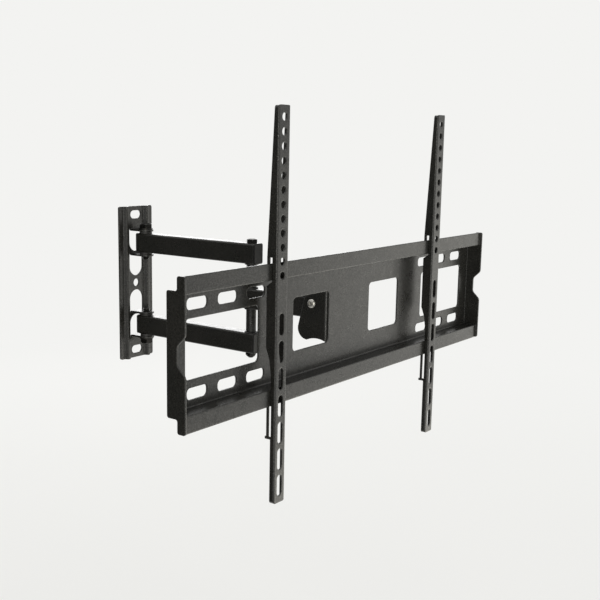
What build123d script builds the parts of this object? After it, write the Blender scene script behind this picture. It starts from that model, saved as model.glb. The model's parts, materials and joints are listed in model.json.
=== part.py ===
from build123d import *

import math
import os

# Full motion television wall mount: a wall plate, two parallel arms, one forearm, a head that
# swivels and tilts, a wide pressed plate and two hook-on rails. Millimetres, +Z up.
# The origin is the middle of the wall plate's back face. The wall is the plane Y = 0, the
# television side is -Y, and +X is right as seen from the television side.

# ------------------------------------------------------------------ sheet, bends and fits
wall_sheet = 2.5
frame_sheet = 2.0
head_sheet = 3.0
rail_sheet = 1.5
bend_radius = 1.0
turning_gap = 0.05
bolt_gap = 0.1
insert_gap = 0.1

# ------------------------------------------------------------------ wall plate
wall_width = 65.0
wall_height = 222.0
wall_corner = 3.0
bead_middle = 19.9
bead_crest = 4.0
bead_flank = 3.0
bead_depth = 5.0
screw_slot_length = 21.0
screw_slot_width = 11.5
screw_slot_z = 99.0
centre_hole_radius = 5.6
tongue_radius = 11.0
lance_gap = 2.0
window_length = 30.0

# ------------------------------------------------------------------ arms and forearm
arm_width = 18.0
arm_height = 27.0
arm_wall = 1.5
arm_corner = 2.5
arm_z = 59.5
arm_length = 195.0
arm_overhang = 11.5
forearm_length = 96.5
forearm_tail = 17.0
cap_plate = 2.0
cap_plug = 2.5

# ------------------------------------------------------------------ pivots
shoulder_reach = 20.0
shoulder_bolt_radius = 5.0
shoulder_bolt_flats = 17.0
shoulder_bolt_head = 6.4
shoulder_bolt_end = 5.0
shoulder_washer_radius = 10.0
shoulder_washer = 2.0
bush_flange = 3.0
bush_wall = 1.45
bush_depth = 4.5
elbow_bolt_radius = 4.0
elbow_bolt_flats = 13.0
elbow_bolt_head = 5.3
elbow_nut_height = 5.5
elbow_bolt_end = 1.5
elbow_sleeve_radius = 6.85
elbow_washer_radius = 9.0
elbow_washer = 1.0
swivel_bolt_radius = 5.0
swivel_bolt_flats = 17.0
swivel_bolt_head = 6.4
swivel_nut_height = 8.0
swivel_bolt_end = 2.0
swivel_washer = 2.0

# ------------------------------------------------------------------ head
swivel_tab_radius = 12.5
swivel_sweep_gap = 0.9
head_bend = 4.0
head_width = 82.0
head_top = 25.0
head_bottom = -14.0
head_relief = 2.0
tilt_offset = 32.7
tilt_z = 13.0
tilt_eye_radius = 12.0
tilt_bolt_radius = 3.0
tilt_head_radius = 5.7
tilt_head_height = 3.3
tilt_socket_flats = 4.0
tilt_socket_depth = 1.8
tilt_nut_flats = 10.0
tilt_nut_height = 5.0
tilt_bolt_end = 1.0
tilt_washer = 2.0
tilt_washer_radius = 8.0
ear_reach = 22.3
ear_top = 30.0
ear_bottom = -32.0
ear_lobe_radius = 13.5
ear_lobe_depth = 28.4
ear_dip = 3.2

# ------------------------------------------------------------------ pressed plate
plate_length = 640.0
plate_height = 155.0
plate_opening = 118.6
recess_depth = 19.0
end_wall_front = 3.0
end_wall_ear = 7.4
end_wall_shoulder = 63.0
end_notch_mouth = 40.0
end_notch_floor = 20.0
end_notch_depth = 10.6
end_notch_corner = 7.0
end_wall_corner = 2.5
outer_window = (117.0, 62.0)
outer_window_x = 237.5
inner_window = (72.0, 62.0)
inner_window_x = 80.65
window_corner = 5.5
plate_slot = (31.0, 12.2)
plate_slot_corner = 5.0
plate_slot_x = (184.4, 231.3, 278.2)
plate_slot_z = 45.5

# ------------------------------------------------------------------ rails
rail_x = 171.5
rail_width = 20.0
rail_top = 241.0
rail_bottom = -188.0
rail_bend = 1.8
rail_stand = 6.0
rail_depth = 13.2
rail_top_depth = 5.5
rail_corner = 3.5
hook_gap = 1.5
hook_leg = 3.5
hook_lift = 6.0
finger_slot = 5.2
finger_gap = 0.4
finger_width = 3.0
finger_short = 2.7
flange_ramp = 5.0
flange_deep = 66.0
heel_height = 13.0
heel_taper = 18.0
finger_root = 34.5
toe_reach = 1.8
toe_height = 3.0
rail_hole_radius = 4.2
rail_hole_top = 229.0
rail_hole_pitch = 15.0
rail_hole_count = 12
rail_slot_length = 24.0
rail_slot_top = 11.7
rail_slot_pitch = 30.0
rail_slot_count = 7

# ------------------------------------------------------------------ places along the mount
shoulder_y = -wall_sheet - shoulder_reach
elbow_y = shoulder_y - arm_length
swivel_y = elbow_y - forearm_length
tilt_y = swivel_y - tilt_offset
recess_rear_y = tilt_y - ear_reach
recess_y = recess_rear_y - frame_sheet
band_y = recess_y - recess_depth
rail_y = band_y - rail_stand
arm_top = arm_z + arm_height / 2
arm_bottom = arm_z - arm_height / 2
forearm_top = arm_height / 2
head_tab_z = forearm_top + swivel_washer
web_rear_y = swivel_y - math.hypot(arm_overhang, arm_width / 2) - swivel_sweep_gap
web_front_y = web_rear_y - head_sheet
ear_inner_x = head_width / 2 + tilt_washer
ear_outer_x = ear_inner_x + head_sheet
shelf_z = plate_opening / 2 + frame_sheet


# ------------------------------------------------------------------ helpers
def along_x(shape, low, high):
    """A solid whose section, drawn in Y and Z, runs from X low to X high."""
    return extrude(Plane.YZ.offset(low) * shape, high - low)


def along_y(shape, high, low):
    """A solid whose section, drawn in X and Z, runs from Y high down to Y low."""
    return extrude(Plane.XZ.offset(-high) * shape, high - low)


def along_z(shape, low, high):
    """A solid whose section, drawn in X and Y, runs from Z low to Z high."""
    return extrude(Plane.XY.offset(low) * shape, high - low)


def disc_z(y, radius, low, high):
    """An upright cylinder on the mid-plane at Y y."""
    return along_z(Pos(0, y) * Circle(radius), low, high)


def ring_z(y, outer, bore, low, high):
    """An upright ring on the mid-plane at Y y."""
    return along_z(Pos(0, y) * (Circle(outer) - Circle(bore)), low, high)


def bent_sheet(corners, thickness, side, radius):
    """The section of one bent sheet. The corners lie on one face and the other lies to the given side."""
    face_line = FilletPolyline(*corners, radius=radius)
    return make_face(offset(face_line, amount=thickness, side=side))


def hexagon(flats):
    """A hexagon with the given distance across its flats."""
    return RegularPolygon(radius=flats / 2, side_count=6, major_radius=False)


def hex_head(flats, height):
    """A hexagon head that stands on Z = 0, with its top corners turned off at 30 degrees."""
    rise = flats * (1 / math.cos(math.radians(30)) - 1) * math.tan(math.radians(30))
    corner = flats / 2 / math.cos(math.radians(30))
    turned = Polyline((0, 0), (corner, 0), (corner, height - rise), (flats / 2, height), (0, height), (0, 0))
    return along_z(hexagon(flats), 0, height) & revolve(Plane.XZ * make_face(turned), Axis.Z)


def both_heights(shape):
    """The shape and its mirror image below the mid-height plane."""
    return [shape, mirror(shape, Plane.XY)]


def both_sides(shape):
    """The shape and its mirror image across the mid-plane."""
    return [shape, mirror(shape, Plane.YZ)]


def save(name, shapes):
    """Writes one sub-part's solids to its STEP file."""
    solids = [solid for shape in shapes for solid in shape.solids()]
    whole = solids[0] if len(solids) == 1 else Compound(children=solids)
    export_step(whole, f"parts/{name}.step")


# ------------------------------------------------------------------ wall plate
def wall_bead_section():
    """The wall plate's section: flat lips, two upright trapezoid beads and a flat middle."""
    inner_foot = bead_middle - bead_crest / 2 - bead_flank
    outer_foot = bead_middle + bead_crest / 2 + bead_flank
    front = -wall_sheet
    crest = front - bead_depth
    half = [
        (inner_foot, front),
        (inner_foot + bead_flank, crest),
        (outer_foot - bead_flank, crest),
        (outer_foot, front),
        (wall_width / 2, front),
    ]
    left_half = [(-x, y) for x, y in reversed(half)]
    return bent_sheet(left_half + half, wall_sheet, Side.LEFT, bend_radius)


def tongue(underside):
    """One tab: a tongue of the plate bent forward, rounded about the shoulder bolt."""
    top = underside + wall_sheet
    root = top + bend_radius
    tip_y = shoulder_y - tongue_radius
    corners = [(-wall_sheet, root + wall_sheet), (-wall_sheet, top), (tip_y, top)]
    strip = along_x(bent_sheet(corners, wall_sheet, Side.LEFT, bend_radius), -tongue_radius, tongue_radius)
    neck = Pos(0, shoulder_y / 2) * Rectangle(2 * tongue_radius, -shoulder_y)
    outline = neck + Pos(0, shoulder_y) * Circle(tongue_radius)
    outline -= Pos(0, shoulder_y) * Circle(shoulder_bolt_radius + bolt_gap)
    return strip & along_z(outline, underside, root + wall_sheet)


def tongue_window(underside):
    """The opening that a tongue leaves: straight at the bend and arched at the far end."""
    half = tongue_radius + lance_gap
    top = underside + wall_sheet + bend_radius
    arch_z = underside - window_length + half
    shape = Pos(0, (top + arch_z) / 2) * Rectangle(2 * half, top - arch_z)
    shape += Pos(0, arch_z) * Circle(half)
    return along_y(shape, 1, -2 * wall_sheet)


def wall_plate():
    """The pressed wall plate with its four tabs, two screw slots and centre hole."""
    plate = along_z(wall_bead_section(), -wall_height / 2, wall_height / 2)
    slot = Pos(0, screw_slot_z) * SlotOverall(screw_slot_length, screw_slot_width)
    plate -= along_y(Sketch() + slot + Pos(0, -2 * screw_slot_z) * slot, 1, -2 * wall_sheet)
    plate -= along_y(Circle(centre_hole_radius), 1, -2 * wall_sheet)
    for underside in (arm_top + bush_flange, arm_bottom - bush_flange - wall_sheet):
        for window in both_heights(tongue_window(underside)):
            plate -= window
        for tab in both_heights(tongue(underside)):
            plate += tab
    corners = plate.edges().filter_by(Axis.Y).filter_by(lambda e: abs(e.center().X) > wall_width / 2 - 0.01)
    return fillet(corners, wall_corner)


def shoulder_bolt():
    """The upper shoulder bolt: it hangs from the top tab and its end stands out below the next."""
    head_z = arm_top + bush_flange + wall_sheet + shoulder_washer
    end_z = arm_bottom - bush_flange - wall_sheet - shoulder_bolt_end
    shank = disc_z(shoulder_y, shoulder_bolt_radius, end_z, head_z)
    shank = chamfer(shank.edges().sort_by(Axis.Z)[0], shoulder_bolt_radius / 6)
    return shank + Pos(0, shoulder_y, head_z) * hex_head(shoulder_bolt_flats, shoulder_bolt_head)


def shoulder_washer_ring():
    """The steel washer under the upper shoulder bolt's head."""
    low = arm_top + bush_flange + wall_sheet
    bore = shoulder_bolt_radius + bolt_gap
    return ring_z(shoulder_y, shoulder_washer_radius, bore, low, low + shoulder_washer)


# ------------------------------------------------------------------ arms
def box_tube(z, rear, front):
    """A rectangular tube centred at height z, from Y rear to Y front."""
    outer = RectangleRounded(arm_width, arm_height, arm_corner)
    inner = RectangleRounded(arm_width - 2 * arm_wall, arm_height - 2 * arm_wall, arm_corner - arm_wall)
    return along_y(Pos(0, z) * (outer - inner), rear - cap_plate, front + cap_plate)


def arm(z):
    """One of the two arms between the shoulder and the elbow."""
    tube = box_tube(z, shoulder_y + arm_overhang, elbow_y - arm_overhang)
    tube -= disc_z(shoulder_y, bush_outer_radius() + insert_gap, z - arm_height, z + arm_height)
    tube -= disc_z(elbow_y, elbow_bolt_radius + bolt_gap, z - arm_height, z + arm_height)
    return tube


def end_cap(z, face_y, inward):
    """A cap on a tube's end: a plate as large as the tube and a plug inside it."""
    plate = RectangleRounded(arm_width, arm_height, arm_corner)
    across = arm_width - 2 * arm_wall - 2 * insert_gap
    tall = arm_height - 2 * arm_wall - 2 * insert_gap
    plug = RectangleRounded(across, tall, arm_corner - arm_wall)
    seat_y = face_y + inward * cap_plate
    plug_y = seat_y + inward * cap_plug
    cap = along_y(Pos(0, z) * plate, max(face_y, seat_y), min(face_y, seat_y))
    return cap + along_y(Pos(0, z) * plug, max(seat_y, plug_y), min(seat_y, plug_y))


def arm_caps(z):
    """The two caps of one arm."""
    return [end_cap(z, shoulder_y + arm_overhang, -1), end_cap(z, elbow_y - arm_overhang, 1)]


def bush_outer_radius():
    """The radius of a shoulder bush's sleeve, which fits the arm's hole."""
    return shoulder_bolt_radius + turning_gap + bush_wall


def shoulder_bush():
    """The flanged bush in the top wall of the upper arm. Its flange fills the gap to the tab."""
    bore = shoulder_bolt_radius + turning_gap
    flange = ring_z(shoulder_y, arm_width / 2, bore, arm_top, arm_top + bush_flange)
    return flange + ring_z(shoulder_y, bush_outer_radius(), bore, arm_top - bush_depth, arm_top)


def shoulder_bushes():
    """The four bushes, two for each arm."""
    upper = shoulder_bush()
    under = Pos(0, 0, 2 * arm_z) * mirror(upper, Plane.XY)
    return both_heights(upper) + both_heights(under)


# ------------------------------------------------------------------ elbow
def elbow_bolt():
    """The long bolt through both arms and the forearm."""
    end_z = -arm_top - elbow_nut_height - elbow_bolt_end
    shank = disc_z(elbow_y, elbow_bolt_radius, end_z, arm_top)
    shank = chamfer(shank.edges().sort_by(Axis.Z)[0], elbow_bolt_radius / 6)
    return shank + Pos(0, elbow_y, arm_top) * hex_head(elbow_bolt_flats, elbow_bolt_head)


def lock_nut(flats, height, bore):
    """A lock nut hanging below Z = 0, with its free corners turned off."""
    body = hex_head(flats, height) - Cylinder(bore, 3 * height)
    return mirror(body, Plane.XY)


def elbow_nut():
    """The lock nut below the lower arm."""
    nut = lock_nut(elbow_bolt_flats, elbow_nut_height, elbow_bolt_radius + bolt_gap)
    return Pos(0, elbow_y, -arm_top) * nut


def elbow_sleeve():
    """The upper spacer tube between an arm and the forearm."""
    low = forearm_top + elbow_washer
    return ring_z(elbow_y, elbow_sleeve_radius, elbow_bolt_radius + bolt_gap, low, arm_bottom - elbow_washer)


def elbow_washers():
    """The thin washers at both ends of both sleeves."""
    bore = elbow_bolt_radius + bolt_gap
    lower = ring_z(elbow_y, elbow_washer_radius, bore, forearm_top, forearm_top + elbow_washer)
    upper = ring_z(elbow_y, elbow_washer_radius, bore, arm_bottom - elbow_washer, arm_bottom)
    return both_heights(lower) + both_heights(upper)


# ------------------------------------------------------------------ forearm
def forearm():
    """The single tube between the elbow and the swivel."""
    tube = box_tube(0, elbow_y + forearm_tail, swivel_y - arm_overhang)
    tube -= disc_z(elbow_y, elbow_bolt_radius + turning_gap, -arm_height, arm_height)
    tube -= disc_z(swivel_y, swivel_bolt_radius + turning_gap, -arm_height, arm_height)
    return tube


def forearm_caps():
    """The two caps of the forearm."""
    return [end_cap(0, elbow_y + forearm_tail, -1), end_cap(0, swivel_y - arm_overhang, 1)]


# ------------------------------------------------------------------ head
def swivel_clevis():
    """The middle of the swivel bracket: a web with a rounded tab above and below the forearm."""
    outer_z = head_tab_z + head_sheet
    tip_y = swivel_y + swivel_tab_radius
    corners = [(tip_y, outer_z), (web_front_y, outer_z), (web_front_y, -outer_z), (tip_y, -outer_z)]
    section = bent_sheet(corners, head_sheet, Side.LEFT, head_bend)
    strip = along_x(section, -swivel_tab_radius, swivel_tab_radius)
    neck_depth = swivel_y - web_front_y
    neck = Pos(0, swivel_y - neck_depth / 2) * Rectangle(2 * swivel_tab_radius, neck_depth)
    outline = neck + Pos(0, swivel_y) * Circle(swivel_tab_radius)
    outline -= Pos(0, swivel_y) * Circle(swivel_bolt_radius + bolt_gap)
    return strip & along_z(outline, -outer_z, outer_z)


def swivel_cheeks():
    """The wide web with its two cheeks, which run forward to the tilt bolts."""
    front_y = tilt_y - tilt_eye_radius
    side_x = head_width / 2
    corners = [(side_x, front_y), (side_x, web_rear_y), (-side_x, web_rear_y), (-side_x, front_y)]
    trough = along_z(bent_sheet(corners, head_sheet, Side.LEFT, head_bend), head_bottom, head_top)
    web_middle = Pos((web_front_y + web_rear_y) / 2, (head_bottom + head_top) / 2)
    web = web_middle * Rectangle(head_sheet, head_top - head_bottom)
    eye = Pos(tilt_y, tilt_z) * Circle(tilt_eye_radius)
    trough &= along_x(make_hull(web.edges() + eye.edges()), -side_x, side_x)
    trough -= along_x(Pos(tilt_y, tilt_z) * Circle(tilt_bolt_radius + bolt_gap), -side_x, side_x)
    relief_z = forearm_top
    relief_height = head_top - relief_z
    relief = Pos(0, relief_z + relief_height / 2) * Rectangle(
        2 * (swivel_tab_radius + head_relief), relief_height
    )
    return trough - along_y(relief, web_rear_y, web_front_y)


def swivel_bracket():
    """The bracket that turns on the forearm's end and carries the tilt bolts."""
    return swivel_cheeks() + swivel_clevis()


def swivel_bolt():
    """The upright bolt through the swivel bracket and the forearm."""
    head_z = head_tab_z + head_sheet
    end_z = -head_z - swivel_nut_height - swivel_bolt_end
    shank = disc_z(swivel_y, swivel_bolt_radius, end_z, head_z)
    shank = chamfer(shank.edges().sort_by(Axis.Z)[0], swivel_bolt_radius / 6)
    return shank + Pos(0, swivel_y, head_z) * hex_head(swivel_bolt_flats, swivel_bolt_head)


def swivel_nut():
    """The lock nut below the swivel bracket."""
    low_z = -head_tab_z - head_sheet
    nut = lock_nut(swivel_bolt_flats, swivel_nut_height, swivel_bolt_radius + bolt_gap)
    return Pos(0, swivel_y, low_z) * nut


def swivel_washers():
    """The friction washers above and below the forearm."""
    bore = swivel_bolt_radius + bolt_gap
    return both_heights(ring_z(swivel_y, arm_width / 2, bore, forearm_top, head_tab_z))


def ear_outline():
    """An ear of the tilt bracket, in Y and Z: an eye above, a round lobe and a dip below."""
    lobe_z = ear_bottom + ear_lobe_radius
    lobe_y = recess_rear_y + ear_lobe_depth
    eye = Pos(tilt_y, tilt_z) * Circle(tilt_eye_radius)
    lobe = Pos(lobe_y, lobe_z) * Circle(ear_lobe_radius)
    base_middle = Pos(recess_rear_y + head_sheet / 2, (ear_top + ear_bottom) / 2)
    base = base_middle * Rectangle(head_sheet, ear_top - ear_bottom)
    half_span = (lobe_y - recess_rear_y) / 2
    dip_radius = (half_span**2 + ear_dip**2) / (2 * ear_dip)
    dip = Pos(recess_rear_y + half_span, ear_bottom + ear_dip - dip_radius) * Circle(dip_radius)
    return make_hull(base.edges() + eye.edges() + lobe.edges()) - dip


def tilt_bracket():
    """The bracket on the back of the pressed plate: a base and two ears that turn on the tilt bolts."""
    rear_y = recess_rear_y + ear_lobe_depth + ear_lobe_radius
    corners = [
        (ear_outer_x, rear_y),
        (ear_outer_x, recess_rear_y),
        (-ear_outer_x, recess_rear_y),
        (-ear_outer_x, rear_y),
    ]
    trough = along_z(bent_sheet(corners, head_sheet, Side.RIGHT, head_bend), ear_bottom, ear_top)
    trough &= along_x(ear_outline(), -ear_outer_x, ear_outer_x)
    hole = Pos(tilt_y, tilt_z) * Circle(tilt_bolt_radius + turning_gap)
    return trough - along_x(hole, -ear_outer_x, ear_outer_x)


def tilt_bolt():
    """The right tilt bolt: a domed socket head outside the ear and a shank to the nut."""
    end_x = head_width / 2 - head_sheet - tilt_nut_height - tilt_bolt_end
    place = Pos(tilt_y, tilt_z)
    shank = along_x(place * Circle(tilt_bolt_radius), end_x, ear_outer_x)
    rim = (tilt_head_radius, 0)
    crown = (0, tilt_head_height)
    shoulder = (tilt_head_radius * math.cos(math.pi / 4), tilt_head_height * math.sin(math.pi / 4))
    dome = ThreePointArc(rim, shoulder, crown)
    profile = make_face(dome + Polyline(crown, (0, 0), rim))
    head = revolve(Plane.XZ * profile, Axis.Z)
    head -= along_z(hexagon(tilt_socket_flats), tilt_head_height - tilt_socket_depth, 2 * tilt_head_height)
    return shank + Pos(ear_outer_x, tilt_y, tilt_z) * Rot(0, 90, 0) * head


def tilt_nut():
    """The lock nut inside the right cheek."""
    nut = lock_nut(tilt_nut_flats, tilt_nut_height, tilt_bolt_radius + bolt_gap)
    return Pos(head_width / 2 - head_sheet, tilt_y, tilt_z) * Rot(0, 90, 0) * nut


def tilt_washer_ring():
    """The friction washer between the right cheek and its ear."""
    section = Circle(tilt_washer_radius) - Circle(tilt_bolt_radius + bolt_gap)
    return along_x(Pos(tilt_y, tilt_z) * section, head_width / 2, ear_inner_x)


# ------------------------------------------------------------------ pressed plate
def plate_section():
    """The plate's section: a band, a shelf back to the recess, the recess, and the same below."""
    band_z = plate_height / 2
    inner_z = plate_opening / 2
    upper = [(band_y, band_z), (band_y, inner_z), (recess_y, inner_z)]
    lower = [(y, -z) for y, z in reversed(upper)]
    return bent_sheet(upper + lower, frame_sheet, Side.LEFT, bend_radius)


def plate_cuts():
    """The four windows and twelve slots of the recess, drawn in X and Z."""
    cuts = Sketch()
    for side in (-1, 1):
        cuts += Pos(side * outer_window_x, 0) * RectangleRounded(*outer_window, window_corner)
        cuts += Pos(side * inner_window_x, 0) * RectangleRounded(*inner_window, window_corner)
        for x in plate_slot_x:
            for z in (-plate_slot_z, plate_slot_z):
                cuts += Pos(side * x, z) * RectangleRounded(*plate_slot, plate_slot_corner)
    return cuts


def end_wall():
    """The right end wall: it closes the section and carries a notch in its front edge."""
    front = band_y - end_wall_front
    top = [
        (front, plate_height / 2),
        (band_y + end_wall_ear, plate_height / 2),
        (band_y + end_wall_ear, end_wall_shoulder),
        (recess_rear_y, end_wall_shoulder),
    ]
    notch = [
        (front + end_notch_depth, end_notch_floor / 2),
        (front, end_notch_mouth / 2),
    ]
    upper = notch + top
    lower = [(y, -z) for y, z in reversed(upper)]
    outline = make_face(Polyline(*(upper + lower), close=True))
    notch_corners = outline.vertices().filter_by(lambda v: abs(v.Y) < end_notch_mouth / 2 + 0.01)
    outline = fillet(notch_corners, end_notch_corner)
    wall_corners = outline.vertices().filter_by(lambda v: abs(v.Y) > end_wall_shoulder - 0.01)
    outline = fillet(wall_corners, end_wall_corner)
    return along_x(outline, plate_length / 2 - frame_sheet, plate_length / 2)


def tv_plate():
    """The long pressed plate that the rails hook onto."""
    inner_x = plate_length / 2 - frame_sheet
    plate = along_x(plate_section(), -inner_x, inner_x)
    plate -= along_y(plate_cuts(), recess_rear_y + frame_sheet, recess_y - frame_sheet)
    for wall in both_sides(end_wall()):
        plate += wall
    return plate


# ------------------------------------------------------------------ rails
def finger_edge(band_top, finger_front):
    """The lower rear edge of a rail's left side, in depth and Z: a slot, a finger and a toe."""
    finger_rear = finger_front + finger_width
    finger_tip = -shelf_z - finger_short
    root_z = -band_top - finger_root
    toe_z = root_z - toe_height
    return [
        (rail_stand, -band_top),
        (finger_slot, -band_top),
        (finger_slot, root_z),
        (finger_front, root_z),
        (finger_front, finger_tip),
        (finger_rear, finger_tip),
        (finger_rear, root_z),
        (finger_rear + toe_reach, root_z),
        (finger_rear + toe_reach, toe_z),
        (rail_stand, toe_z),
    ]


def flange_outline(has_finger):
    """A rail's side, drawn in Y and Z: a hook over the shelf, a heel in the recess and a foot."""
    band_top = plate_height / 2
    band_rear = rail_stand + frame_sheet
    slot_rear = band_rear + hook_gap
    leg_rear = slot_rear + hook_leg
    slot_top = band_top + hook_lift
    ramp_z = plate_opening / 2 - hook_gap
    deep_z = ramp_z - flange_ramp
    heel_z = deep_z - flange_deep
    taper_z = heel_z - heel_height
    finger_front = band_rear + finger_gap
    upper = [
        (0, rail_top),
        (rail_top_depth, rail_top),
        (leg_rear, slot_top),
        (leg_rear, shelf_z),
        (slot_rear, shelf_z),
        (slot_rear, slot_top),
        (rail_stand, slot_top),
        (rail_stand, ramp_z),
        (rail_depth, deep_z),
        (rail_depth, heel_z),
        (finger_front, taper_z),
        (rail_stand, taper_z - heel_taper),
    ]
    middle = finger_edge(band_top, finger_front) if has_finger else []
    lower = [(rail_stand, rail_bottom), (0, rail_bottom)]
    points = [(rail_y + depth, z) for depth, z in upper + middle + lower]
    return make_face(Polyline(*points, close=True))


def rail():
    """One hook-on rail, centred on the mid-plane: a channel with shaped flanges and a row of holes."""
    half = rail_width / 2
    rear_y = rail_y + rail_depth
    corners = [(-half, rear_y), (-half, rail_y), (half, rail_y), (half, rear_y)]
    channel = along_z(bent_sheet(corners, rail_sheet, Side.LEFT, rail_bend), rail_bottom, rail_top)
    left_side = along_x(flange_outline(has_finger=True), -half, 0)
    right_side = along_x(flange_outline(has_finger=False), 0, half)
    body = channel & (left_side + right_side)
    face_middle = Pos(0, (rail_top + rail_bottom) / 2)
    face = face_middle * RectangleRounded(rail_width, rail_top - rail_bottom, rail_corner)
    for n in range(rail_hole_count):
        face -= Pos(0, rail_hole_top - n * rail_hole_pitch) * Circle(rail_hole_radius)
    slot = Rot(0, 0, 90) * SlotOverall(rail_slot_length, 2 * rail_hole_radius)
    for n in range(rail_slot_count):
        face -= Pos(0, rail_slot_top - n * rail_slot_pitch) * slot
    return body & along_y(face, rear_y, rail_y)


# ------------------------------------------------------------------ all sub-parts
def build():
    """Each sub-part's name and its solids."""
    nut = tilt_nut()
    return {
        "wall_plate": [wall_plate()],
        "shoulder_bolts": both_heights(shoulder_bolt()),
        "shoulder_washers": both_heights(shoulder_washer_ring()),
        "shoulder_bushes": shoulder_bushes(),
        "upper_arm": [arm(arm_z)],
        "lower_arm": [arm(-arm_z)],
        "upper_arm_caps": arm_caps(arm_z),
        "lower_arm_caps": arm_caps(-arm_z),
        "elbow_bolt": [elbow_bolt()],
        "elbow_nut": [elbow_nut()],
        "upper_elbow_sleeve": [elbow_sleeve()],
        "lower_elbow_sleeve": [mirror(elbow_sleeve(), Plane.XY)],
        "elbow_washers": elbow_washers(),
        "forearm": [forearm()],
        "forearm_caps": forearm_caps(),
        "swivel_bracket": [swivel_bracket()],
        "swivel_bolt": [swivel_bolt()],
        "swivel_nut": [swivel_nut()],
        "swivel_washers": swivel_washers(),
        "tilt_bracket": [tilt_bracket()],
        "tilt_bolts": both_sides(tilt_bolt()),
        "tilt_nuts": both_sides(nut),
        "tilt_washers": both_sides(tilt_washer_ring()),
        "tv_plate": [tv_plate()],
        "left_rail": [Pos(-rail_x, 0, 0) * rail()],
        "right_rail": [Pos(rail_x, 0, 0) * rail()],
    }


os.makedirs("parts", exist_ok=True)
for name, shapes in build().items():
    save(name, shapes)
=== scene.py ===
"""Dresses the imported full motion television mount: finishes, fasteners, caps, welds and studio."""

import json
import logging
import math
from dataclasses import dataclass
from enum import Enum
from typing import Sequence

import bpy
import numpy as np
from mathutils import Matrix, Vector

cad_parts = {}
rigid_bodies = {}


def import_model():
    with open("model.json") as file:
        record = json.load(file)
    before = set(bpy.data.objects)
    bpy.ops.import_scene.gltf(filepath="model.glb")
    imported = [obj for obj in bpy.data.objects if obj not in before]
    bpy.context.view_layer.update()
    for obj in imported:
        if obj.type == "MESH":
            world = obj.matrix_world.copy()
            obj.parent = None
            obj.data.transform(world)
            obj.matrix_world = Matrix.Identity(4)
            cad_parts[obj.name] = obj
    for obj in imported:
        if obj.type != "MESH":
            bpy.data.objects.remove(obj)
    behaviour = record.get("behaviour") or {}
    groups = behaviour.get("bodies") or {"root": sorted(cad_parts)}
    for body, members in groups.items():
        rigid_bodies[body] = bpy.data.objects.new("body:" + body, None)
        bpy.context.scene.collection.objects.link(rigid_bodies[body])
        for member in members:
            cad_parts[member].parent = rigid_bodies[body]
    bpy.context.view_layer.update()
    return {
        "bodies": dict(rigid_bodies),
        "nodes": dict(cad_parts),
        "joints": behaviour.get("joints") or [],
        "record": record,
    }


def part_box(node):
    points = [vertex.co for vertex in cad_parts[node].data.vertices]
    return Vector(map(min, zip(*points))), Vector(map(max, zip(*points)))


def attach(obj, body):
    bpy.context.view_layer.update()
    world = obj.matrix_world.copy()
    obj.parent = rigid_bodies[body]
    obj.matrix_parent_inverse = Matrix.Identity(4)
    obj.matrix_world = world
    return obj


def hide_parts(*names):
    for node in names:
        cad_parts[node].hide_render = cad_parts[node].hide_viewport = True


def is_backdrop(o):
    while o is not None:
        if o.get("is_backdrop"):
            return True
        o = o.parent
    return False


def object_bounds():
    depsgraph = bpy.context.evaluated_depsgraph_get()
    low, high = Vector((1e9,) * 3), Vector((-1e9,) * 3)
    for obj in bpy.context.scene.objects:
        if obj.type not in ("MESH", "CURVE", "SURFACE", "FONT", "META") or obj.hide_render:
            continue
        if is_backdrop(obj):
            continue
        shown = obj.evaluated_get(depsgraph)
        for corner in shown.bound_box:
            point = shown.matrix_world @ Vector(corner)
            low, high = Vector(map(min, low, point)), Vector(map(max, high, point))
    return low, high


LOG = logging.getLogger("television_mount")
# Points round every turned shape, and the angle of each.
COLUMNS = 72
TURN = np.linspace(0.0, math.tau, COLUMNS, endpoint=False)
# Edges that bend by more than this stay sharp.
SHARP_ANGLE = math.radians(32)
# A hexagon's corners are turned off at this slope, outside a round face with this share of the flats.
CHAMFER_SLOPE = math.tan(math.radians(30))
FACE_SHARE = 0.475

Colour = tuple[float, float, float, float]
Station = tuple[float | np.ndarray, float | np.ndarray]
Tree = bpy.types.NodeTree
Socket = bpy.types.NodeSocket


# ---- surfaces
class Ends(Enum):
    """How the first and last rows of a grid are closed."""

    POLES = "each end row runs in to a point"
    LOOP = "the last row joins the first"


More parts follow.
